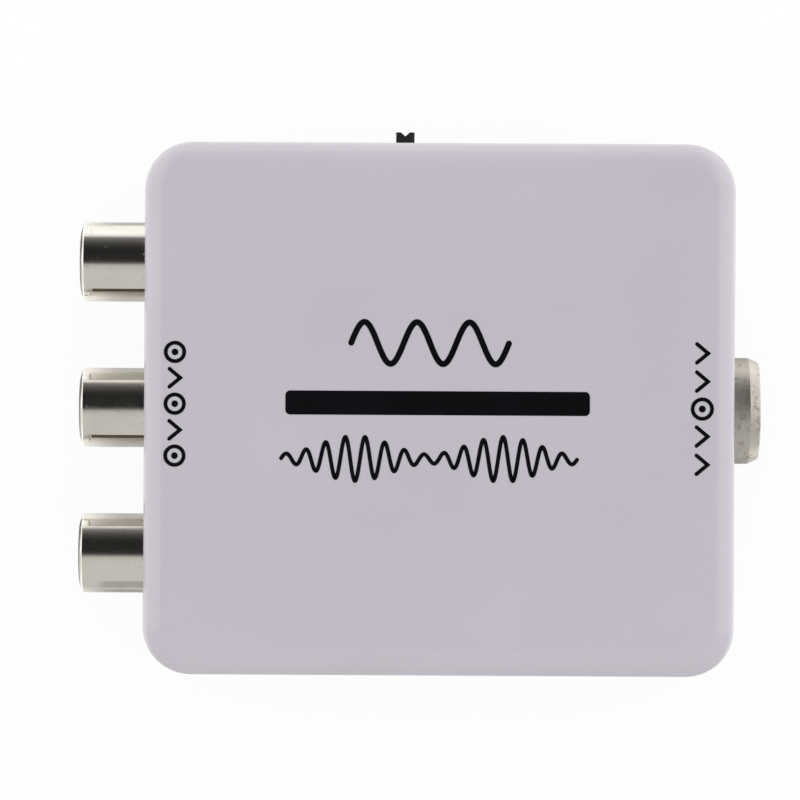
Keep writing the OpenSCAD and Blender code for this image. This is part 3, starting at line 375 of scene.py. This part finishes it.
colours = {
    "case": srgb(192, 187, 196),
    "nickel": (0.88, 0.85, 0.79, 1),
    "cast": (0.66, 0.63, 0.57, 1),
    "tin": (0.74, 0.74, 0.73, 1),
    "steel": (0.6, 0.59, 0.57, 1),
    "gold": (0.83, 0.62, 0.25, 1),
    "black": (0.012, 0.012, 0.013, 1),
    "lever": (0.014, 0.013, 0.013, 1),
    "ink": (0.002, 0.002, 0.0032, 1),
    "yellow": (0.8, 0.52, 0.02, 1),
    "white": (0.8, 0.8, 0.77, 1),
    "red": (0.55, 0.015, 0.015, 1),
    "lacquer": (0.012, 0.12, 0.035, 1),
    "overCopper": (0.02, 0.2, 0.06, 1),
    "laminate": (0.2, 0.09, 0.03, 1),
    "ferrite": (0.03, 0.028, 0.027, 1),
    "sleeve": (0.012, 0.016, 0.05, 1),
    "ceramic": (0.42, 0.27, 0.14, 1),
}

# Which way the lines in drawn metal run
alongZ = (1, 1, 0.1)
alongY = (1, 0.1, 1)
allWays = (1, 1, 1)

finishes = {
    "case_plastic": glossyPlastic("casePlastic", colours["case"]),
    "yellow_plastic": glossyPlastic("yellowPlastic", colours["yellow"], roughness=0.3),
    "white_plastic": glossyPlastic("whitePlastic", colours["white"], roughness=0.3),
    "red_plastic": glossyPlastic("redPlastic", colours["red"], roughness=0.3),
    "black_plastic": mattPlastic("blackPlastic", colours["black"]),
    "lever_plastic": mattPlastic("leverPlastic", colours["lever"], roughness=0.38, grain=1100, relief=0.2),
    "nickel_plate": platedMetal("nickelPlate", colours["nickel"], flutes=True),
    "cast_nickel": castMetal("castNickel", colours["cast"]),
    "tin_plate": platedMetal("tinPlate", colours["tin"], roughness=0.22, lines=0.1, along=alongZ),
    "screw_steel": platedMetal("screwSteel", colours["steel"], roughness=0.28, lines=0.05, along=allWays),
    "contact_gold": platedMetal("contactGold", colours["gold"], roughness=0.18, lines=0.05, along=alongY),
    "board_laminate": boardLaminate("boardLaminate", colours["lacquer"], colours["overCopper"]),
    "brown_laminate": mattPlastic("brownLaminate", colours["laminate"], roughness=0.55),
    "ferrite": mattPlastic("ferrite", colours["ferrite"], roughness=0.6, grain=2200, relief=0.3),
    "capacitor_sleeve": mattPlastic("capacitorSleeve", colours["sleeve"], roughness=0.3, grain=700,
                                    relief=0.1),
    "tan_ceramic": mattPlastic("tanCeramic", colours["ceramic"], roughness=0.45),
}
print("finishes ready")

# Every node takes the finish of its slot
for name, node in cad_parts.items():
    for slot in node.material_slots:
        slot.material = finishes[slot.material.name.split(".")[0]]
print("nodes dressed")

# Front edge of a jack's barrel, millimetres and degrees. The node's flat lip is the ring at the front
# outside the lip radius; it moves in to the start of the rolled edge, which is smooth up to its end.
rim = {"front": -37.5, "lip": 3.9, "start": -37.43, "radius": 3.44, "end": -37.1, "sharp": 20,
       "slack": 0.01, "weld": 0.001}


# A barrel with its lip rolled right round, in place of the node's flat one
def rolledBarrel(name):
    shape = bmesh.new()
    shape.from_mesh(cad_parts[name].data)
    bmesh.ops.remove_doubles(shape, verts=shape.verts, dist=rim["weld"] * mm)
    low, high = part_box(name)
    axis = Vector((0, (low.y + high.y) / 2, jack["height"] * mm))
    frontEnd = rim["front"] + rim["slack"]
    for vertex in shape.verts:
        out = vertex.co - axis
        out.x = 0
        if vertex.co.x < frontEnd * mm and out.length > rim["lip"] * mm:
            out *= rim["radius"] * mm / out.length
            vertex.co = axis + out + Vector((rim["start"] * mm, 0, 0))
    for edge in shape.edges:
        rolled = all(frontEnd < vertex.co.x / mm < rim["end"] for vertex in edge.verts)
        turned = edge.calc_face_angle(0) > math.radians(rim["sharp"])
        edge.smooth = rolled or not turned
    for face in shape.faces:
        face.smooth = True
    mesh = bpy.data.meshes.new(name + "_rolled")
    shape.to_mesh(mesh)
    shape.free()
    if "custom_normal" in mesh.attributes:
        mesh.attributes.remove(mesh.attributes["custom_normal"])
    piece = bpy.data.objects.new(name + "_rolled", mesh)
    scene.collection.objects.link(piece)
    mesh.materials.clear()
    mesh.materials.append(finishes["nickel_plate"])
    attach(piece, "case")
    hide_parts(name)


for name in list(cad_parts):
    if name.startswith("rca_barrel_"):
        rolledBarrel(name)
print("barrels ready")

# Print on the lid: flat ink, millimetres from the middle of the lid
ink = {
    "thickness": 0.015,
    "sunk": 0.005,
    "bar": {"x": -0.19, "y": 0.63, "length": 31.3, "width": 2.48, "radius": 0.5},
    "upperWave": {"x": -1.0, "y": 6.8, "length": 16.2, "height": 4.3, "cycles": 3, "steps": 180,
                  "stroke": 0.62},
    "lowerWave": {"x": -1.04, "y": -5.1, "length": 30.4, "height": 4.6, "cycles": 15, "steps": 900,
                  "stroke": 0.42, "swells": 2, "quiet": 0.2},
    "sideStroke": 0.4,
    "inMarks": {"x": -27.2, "size": 2.3, "sockets": [5.75, 0.43, -4.9], "arrows": [3.1, -2.25]},
    "outMarks": {"x": 27.0, "size": 2.4, "sockets": [0.18], "arrows": [5.9, 3, -2.65, -5.55]},
    "arrowSize": 0.8,  # shares of the size of the side marks, and the arrow's depth of its own size
    "arrowDepth": 0.6,
    "dotSize": 0.3,
    "dotRound": 0.149,
    "ringSteps": 40,
    "endTurn": 88,  # degrees through which a stroke's round end is drawn
    "mitre": 0.4,  # keeps a sharp corner from reaching far out
}

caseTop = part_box("top_shell")[1].z
inkFinish = printedInk("printedInk", colours["ink"])


def addMesh(name, mesh, finish, body):
    piece = bpy.data.objects.new(name, mesh)
    scene.collection.objects.link(piece)
    mesh.materials.append(finish)
    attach(piece, body)


# A film of ink over bands: each a row of pairs of points, left and right, and whether it closes on itself
def inkFilm(name, bands):
    shape = bmesh.new()
    low, high = caseTop - ink["sunk"] * mm, caseTop + ink["thickness"] * mm
    for pairs, closed in bands:
        rows = []
        for pair in pairs:
            rows.append([shape.verts.new((x * mm, y * mm, z)) for z in (low, high) for x, y in pair])
        joints = list(zip(rows, rows[1:])) + ([(rows[-1], rows[0])] if closed else [])
        for here, there in joints:
            for first, second in ((0, 1), (1, 3), (3, 2), (2, 0)):
                shape.faces.new((here[first], here[second], there[second], there[first]))
        if not closed:
            for row in (rows[0], rows[-1]):
                shape.faces.new((row[0], row[1], row[3], row[2]))
    bmesh.ops.recalc_face_normals(shape, faces=shape.faces)
    mesh = bpy.data.meshes.new(name)
    shape.to_mesh(mesh)
    shape.free()
    addMesh(name, mesh, inkFinish, "case")


def roundedBar(x, y, length, width, radius, steps=8):
    pairs = []
    for end in (-1, 1):
        for i in range(steps + 1):
            turn = math.radians(90 * i / steps)
            if end < 0:
                turn = math.radians(90) - turn
            reach = length / 2 - radius + radius * math.sin(turn)
            half = width / 2 - radius + radius * math.cos(turn)
            pairs.append(((x + end * reach, y + half), (x + end * reach, y - half)))
    return pairs, False


# A line of even width with mitred corners and round ends
def stroke(points, width, closed=False, steps=5):
    line = [(Vector(point), width / 2) for point in points]
    if not closed:
        first, last = [(line[a][0] - line[b][0]).normalized() for a, b in ((0, 1), (-1, -2))]
        for i in range(1, steps + 1):
            turn = math.radians(ink["endTurn"] * i / steps)
            reach, half = width / 2 * math.sin(turn), width / 2 * math.cos(turn)
            line.insert(0, (Vector(points[0]) + first * reach, half))
            line.append((Vector(points[-1]) + last * reach, half))
    pairs = []
    for i, (point, half) in enumerate(line):
        before = line[i - 1][0] if i or closed else point
        after = line[(i + 1) % len(line)][0] if i + 1 < len(line) or closed else point
        runs = [run.normalized() for run in (point - before, after - point) if run.length > 0]
        run = sum(runs, Vector((0, 0))).normalized()
        out = Vector((-run.y, run.x)) * half / max(run.dot(runs[0]), ink["mitre"])
        pairs.append((point + out, point - out))
    return pairs, closed


# A wave of even height, or one that swells from a quiet share of its height to all of it
def wave(spec):
    points = []
    for i in range(spec["steps"] + 1):
        share = i / spec["steps"]
        size = 1
        if "swells" in spec:
            size = spec["quiet"] + (1 - spec["quiet"]) * math.sin(math.pi * spec["swells"] * share) ** 2
        x = spec["x"] + spec["length"] * (share - 0.5)
        y = spec["y"] + spec["height"] / 2 * size * math.sin(2 * math.pi * spec["cycles"] * share)
        points.append((x, y))
    return stroke(points, spec["stroke"])


def arrow(x, y, size):
    half = size * ink["arrowDepth"] / 2
    return stroke([(x - half, y + size / 2), (x + half, y), (x - half, y - size / 2)], ink["sideStroke"])


# Sign for a round socket: ring with a dot in it
def socketSign(x, y, size):
    radius = (size - ink["sideStroke"]) / 2
    points = []
    for i in range(ink["ringSteps"]):
        turn = 2 * math.pi * i / ink["ringSteps"]
        points.append((x + radius * math.cos(turn), y + radius * math.sin(turn)))
    ring = stroke(points, ink["sideStroke"], closed=True)
    dot = size * ink["dotSize"]
    return [ring, roundedBar(x, y, dot, dot, size * ink["dotRound"])]


def sideMarks(spec):
    marks = []
    for y in spec["sockets"]:
        marks += socketSign(spec["x"], y, spec["size"])
    for y in spec["arrows"]:
        marks.append(arrow(spec["x"], y, spec["size"] * ink["arrowSize"]))
    return marks


inkFilm("printed_bar", [roundedBar(**ink["bar"])])
inkFilm("printed_plain_wave", [wave(ink["upperWave"])])
inkFilm("printed_carrier_wave", [wave(ink["lowerWave"])])
inkFilm("printed_in_marks", sideMarks(ink["inMarks"]))
inkFilm("printed_out_marks", sideMarks(ink["outMarks"]))
print("print ready")

# Floor and light: places in millimetres from the middle of the case; a pair is where a change starts and ends
studio = {
    "floorSize": 3,  # metres
    "floorHeight": -0.05,
    "shadowShare": 0.1,  # how much of the floor's own shade the camera sees
    "skyLevel": 0.92,
    # soft lamps low over the floor: where they stand, and how bright
    "lamps": {"left": (-1, 0, 0.12), "right": (1, 0, 0.18), "back": (0, 1, 0.17), "front": (0, -1, 0.05)},
    "lampRise": 12,
    "lampWidth": 50,
    "tableLevel": 1.15,  # light that comes up from the floor, and the same in front of the object
    "tableFront": 0.75,
    "behind": (-50, 0),
    "warmth": (1, 0.985, 0.95, 1),
    # what shiny pieces see of the room, by degrees from straight up towards the back
    "room": [(-30, 0.6), (-14, 0.54), (-9, 0.4), (-5, 0.13), (-1, 0.03), (8, 0.016), (34, 0.013), (46, 0.028),
             (59, 0.075), (73, 0.19), (77, 0.34), (80.4, 1), (100, 1.08)],
    "sideWall": 1.35,
    "sideStart": (0.4, 0.8),  # how far a direction leans to the side, and towards the back
    "sideFront": (-0.2, -0.05),
    "farFloor": 1.08,
    "frontFloor": 0.58,
    "sideFloor": 1.4,
    "sideX": (36, 44),
    "sideY": (-45, -25),
    "nearFloor": 0.5,  # share of that light left on the floor close to the object
    "nearEdge": (9, 3),
    "caseHalf": (30.5, 27.5),
    # patches of floor that the jacks' rims see
    "rimBack": 0.17,
    "rimFront": 0.62,
    "rimTurn": (-1, 0.5),
    "rimFade": (-52, -47),
    "rimPatch": {"far": -60, "near": -38.6, "half": 4.9, "reach": 22},
}


def makeFloor():
    half = studio["floorSize"] / 2
    mesh = bpy.data.meshes.new("floor")
    corners = [(-half, -half, 0), (half, -half, 0), (half, half, 0), (-half, half, 0)]
    mesh.from_pydata(corners, [], [(0, 1, 2, 3)])
    floor = bpy.data.objects.new("floor", mesh)
    floor.location.z = studio["floorHeight"] * mm
    scene.collection.objects.link(floor)
    material = bpy.data.materials.new("paleFloor")
    material.use_nodes = True
    graph = Graph(material.node_tree)

    def glow(strength, colour=(1, 1, 1, 1)):
        return graph.node("ShaderNodeEmission", None, {"Color": colour, "Strength": strength})

    def blend(factor, first, second):
        return graph.node("ShaderNodeMixShader", None, {0: factor, 1: first, 2: second})

    light = graph.node("ShaderNodeLightPath").socket.node.outputs
    seen, glossy = [Wire(graph, light[name]) for name in ("Is Camera Ray", "Is Glossy Ray")]
    position = graph.node("ShaderNodeNewGeometry", output="Position")
    x, y = [part / mm for part in graph.split(position)[:2]]
    shade = graph.node("ShaderNodeBsdfDiffuse", None, {"Color": (1, 1, 1, 1)})
    behind = y.step(*studio["behind"])
    lit = behind * (studio["tableLevel"] - studio["tableFront"]) + studio["tableFront"]
    # shiny pieces see white behind and beside the object, grey in front of it and close to it
    mirrored = behind * (studio["farFloor"] - studio["frontFloor"]) + studio["frontFloor"]
    beside = abs(x).step(*studio["sideX"]) * y.step(*studio["sideY"])
    mirrored = mirrored + beside * (studio["sideFloor"] - mirrored)
    caseX, caseY = studio["caseHalf"]
    outside = (abs(x) - caseX).larger(abs(y) - caseY)
    mirrored = mirrored * (1 - outside.step(*studio["nearEdge"]) * (1 - studio["nearFloor"]))
    # the jacks' rims see their own shade: dark towards the back, grey towards the front
    across = fromJack(y)
    back = mirrored + x.step(*studio["rimFade"]) * (studio["rimBack"] - mirrored)
    shaded = across.step(*studio["rimTurn"]) * (back - studio["rimFront"]) + studio["rimFront"]
    patch = studio["rimPatch"]
    byRims = (x < patch["near"]) * (x > patch["far"])
    byRims = byRims * (abs(across) < patch["half"]) * (abs(y) < patch["reach"])
    mirrored = mirrored + byRims * (shaded - mirrored)
    others = blend(glossy, glow(lit), glow(mirrored, studio["warmth"]))
    surface = blend(seen, others, blend(studio["shadowShare"], glow(1), shade))
    # clear from below, so that the underside can be looked at
    below = graph.node("ShaderNodeNewGeometry", output="Backfacing")
    surface = blend(below, surface, graph.node("ShaderNodeBsdfTransparent"))
    graph.node("ShaderNodeOutputMaterial", None, {"Surface": surface})
    mesh.materials.append(material)
    floor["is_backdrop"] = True


def makeWorld():
    world = bpy.data.worlds.new("studio")
    world.use_nodes = True
    scene.world = world
    graph = Graph(world.node_tree)
    light = graph.node("ShaderNodeLightPath").socket.node.outputs
    x, y, z = graph.split(graph.node("ShaderNodeTexCoord", output="Generated"))
    lean = y.turnFrom(z) * (180 / math.pi)
    low, high = studio["room"][0][0], studio["room"][-1][0]
    stops = [((angle - low) / (high - low), (level, level, level, 1)) for angle, level in studio["room"]]
    room = graph.node("ShaderNodeValToRGB", {"stops": stops}, {"Fac": (lean - low) / (high - low)})
    beside = abs(x).step(*studio["sideStart"]) * y.step(*studio["sideFront"])
    wall = [part * studio["sideWall"] for part in studio["warmth"][:3]] + [1]
    mirrored = graph.mix(beside, graph.mix(1, room, studio["warmth"], "MULTIPLY"), wall)
    shiny = graph.node("ShaderNodeBackground", None, {"Color": mirrored, "Strength": 1})
    seen, glossy = [Wire(graph, light[name]) for name in ("Is Camera Ray", "Is Glossy Ray")]
    level = seen * (1 - studio["skyLevel"]) + studio["skyLevel"]
    even = graph.node("ShaderNodeBackground", None, {"Color": (1, 1, 1, 1), "Strength": level})
    surface = graph.node("ShaderNodeMixShader", None, {0: glossy, 1: even, 2: shiny})
    graph.node("ShaderNodeOutputWorld", None, {"Surface": surface})


def makeLamps():
    for name, (x, y, level) in studio["lamps"].items():
        data = bpy.data.lights.new(name + "_lamp", "SUN")
        data.energy = level * math.pi
        data.angle = math.radians(studio["lampWidth"])
        lamp = bpy.data.objects.new(name + "_lamp", data)
        towards = Vector((x, y, math.tan(math.radians(studio["lampRise"]))))
        lamp.rotation_euler = towards.to_track_quat("Z", "Y").to_euler()
        lamp.visible_glossy = False  # shiny pieces see the room instead
        scene.collection.objects.link(lamp)


makeFloor()
makeWorld()
makeLamps()
print("studio ready")

bpy.context.view_layer.update()
{"cad": [list(c) for c in cadBox], "visual": [list(c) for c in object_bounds()]}
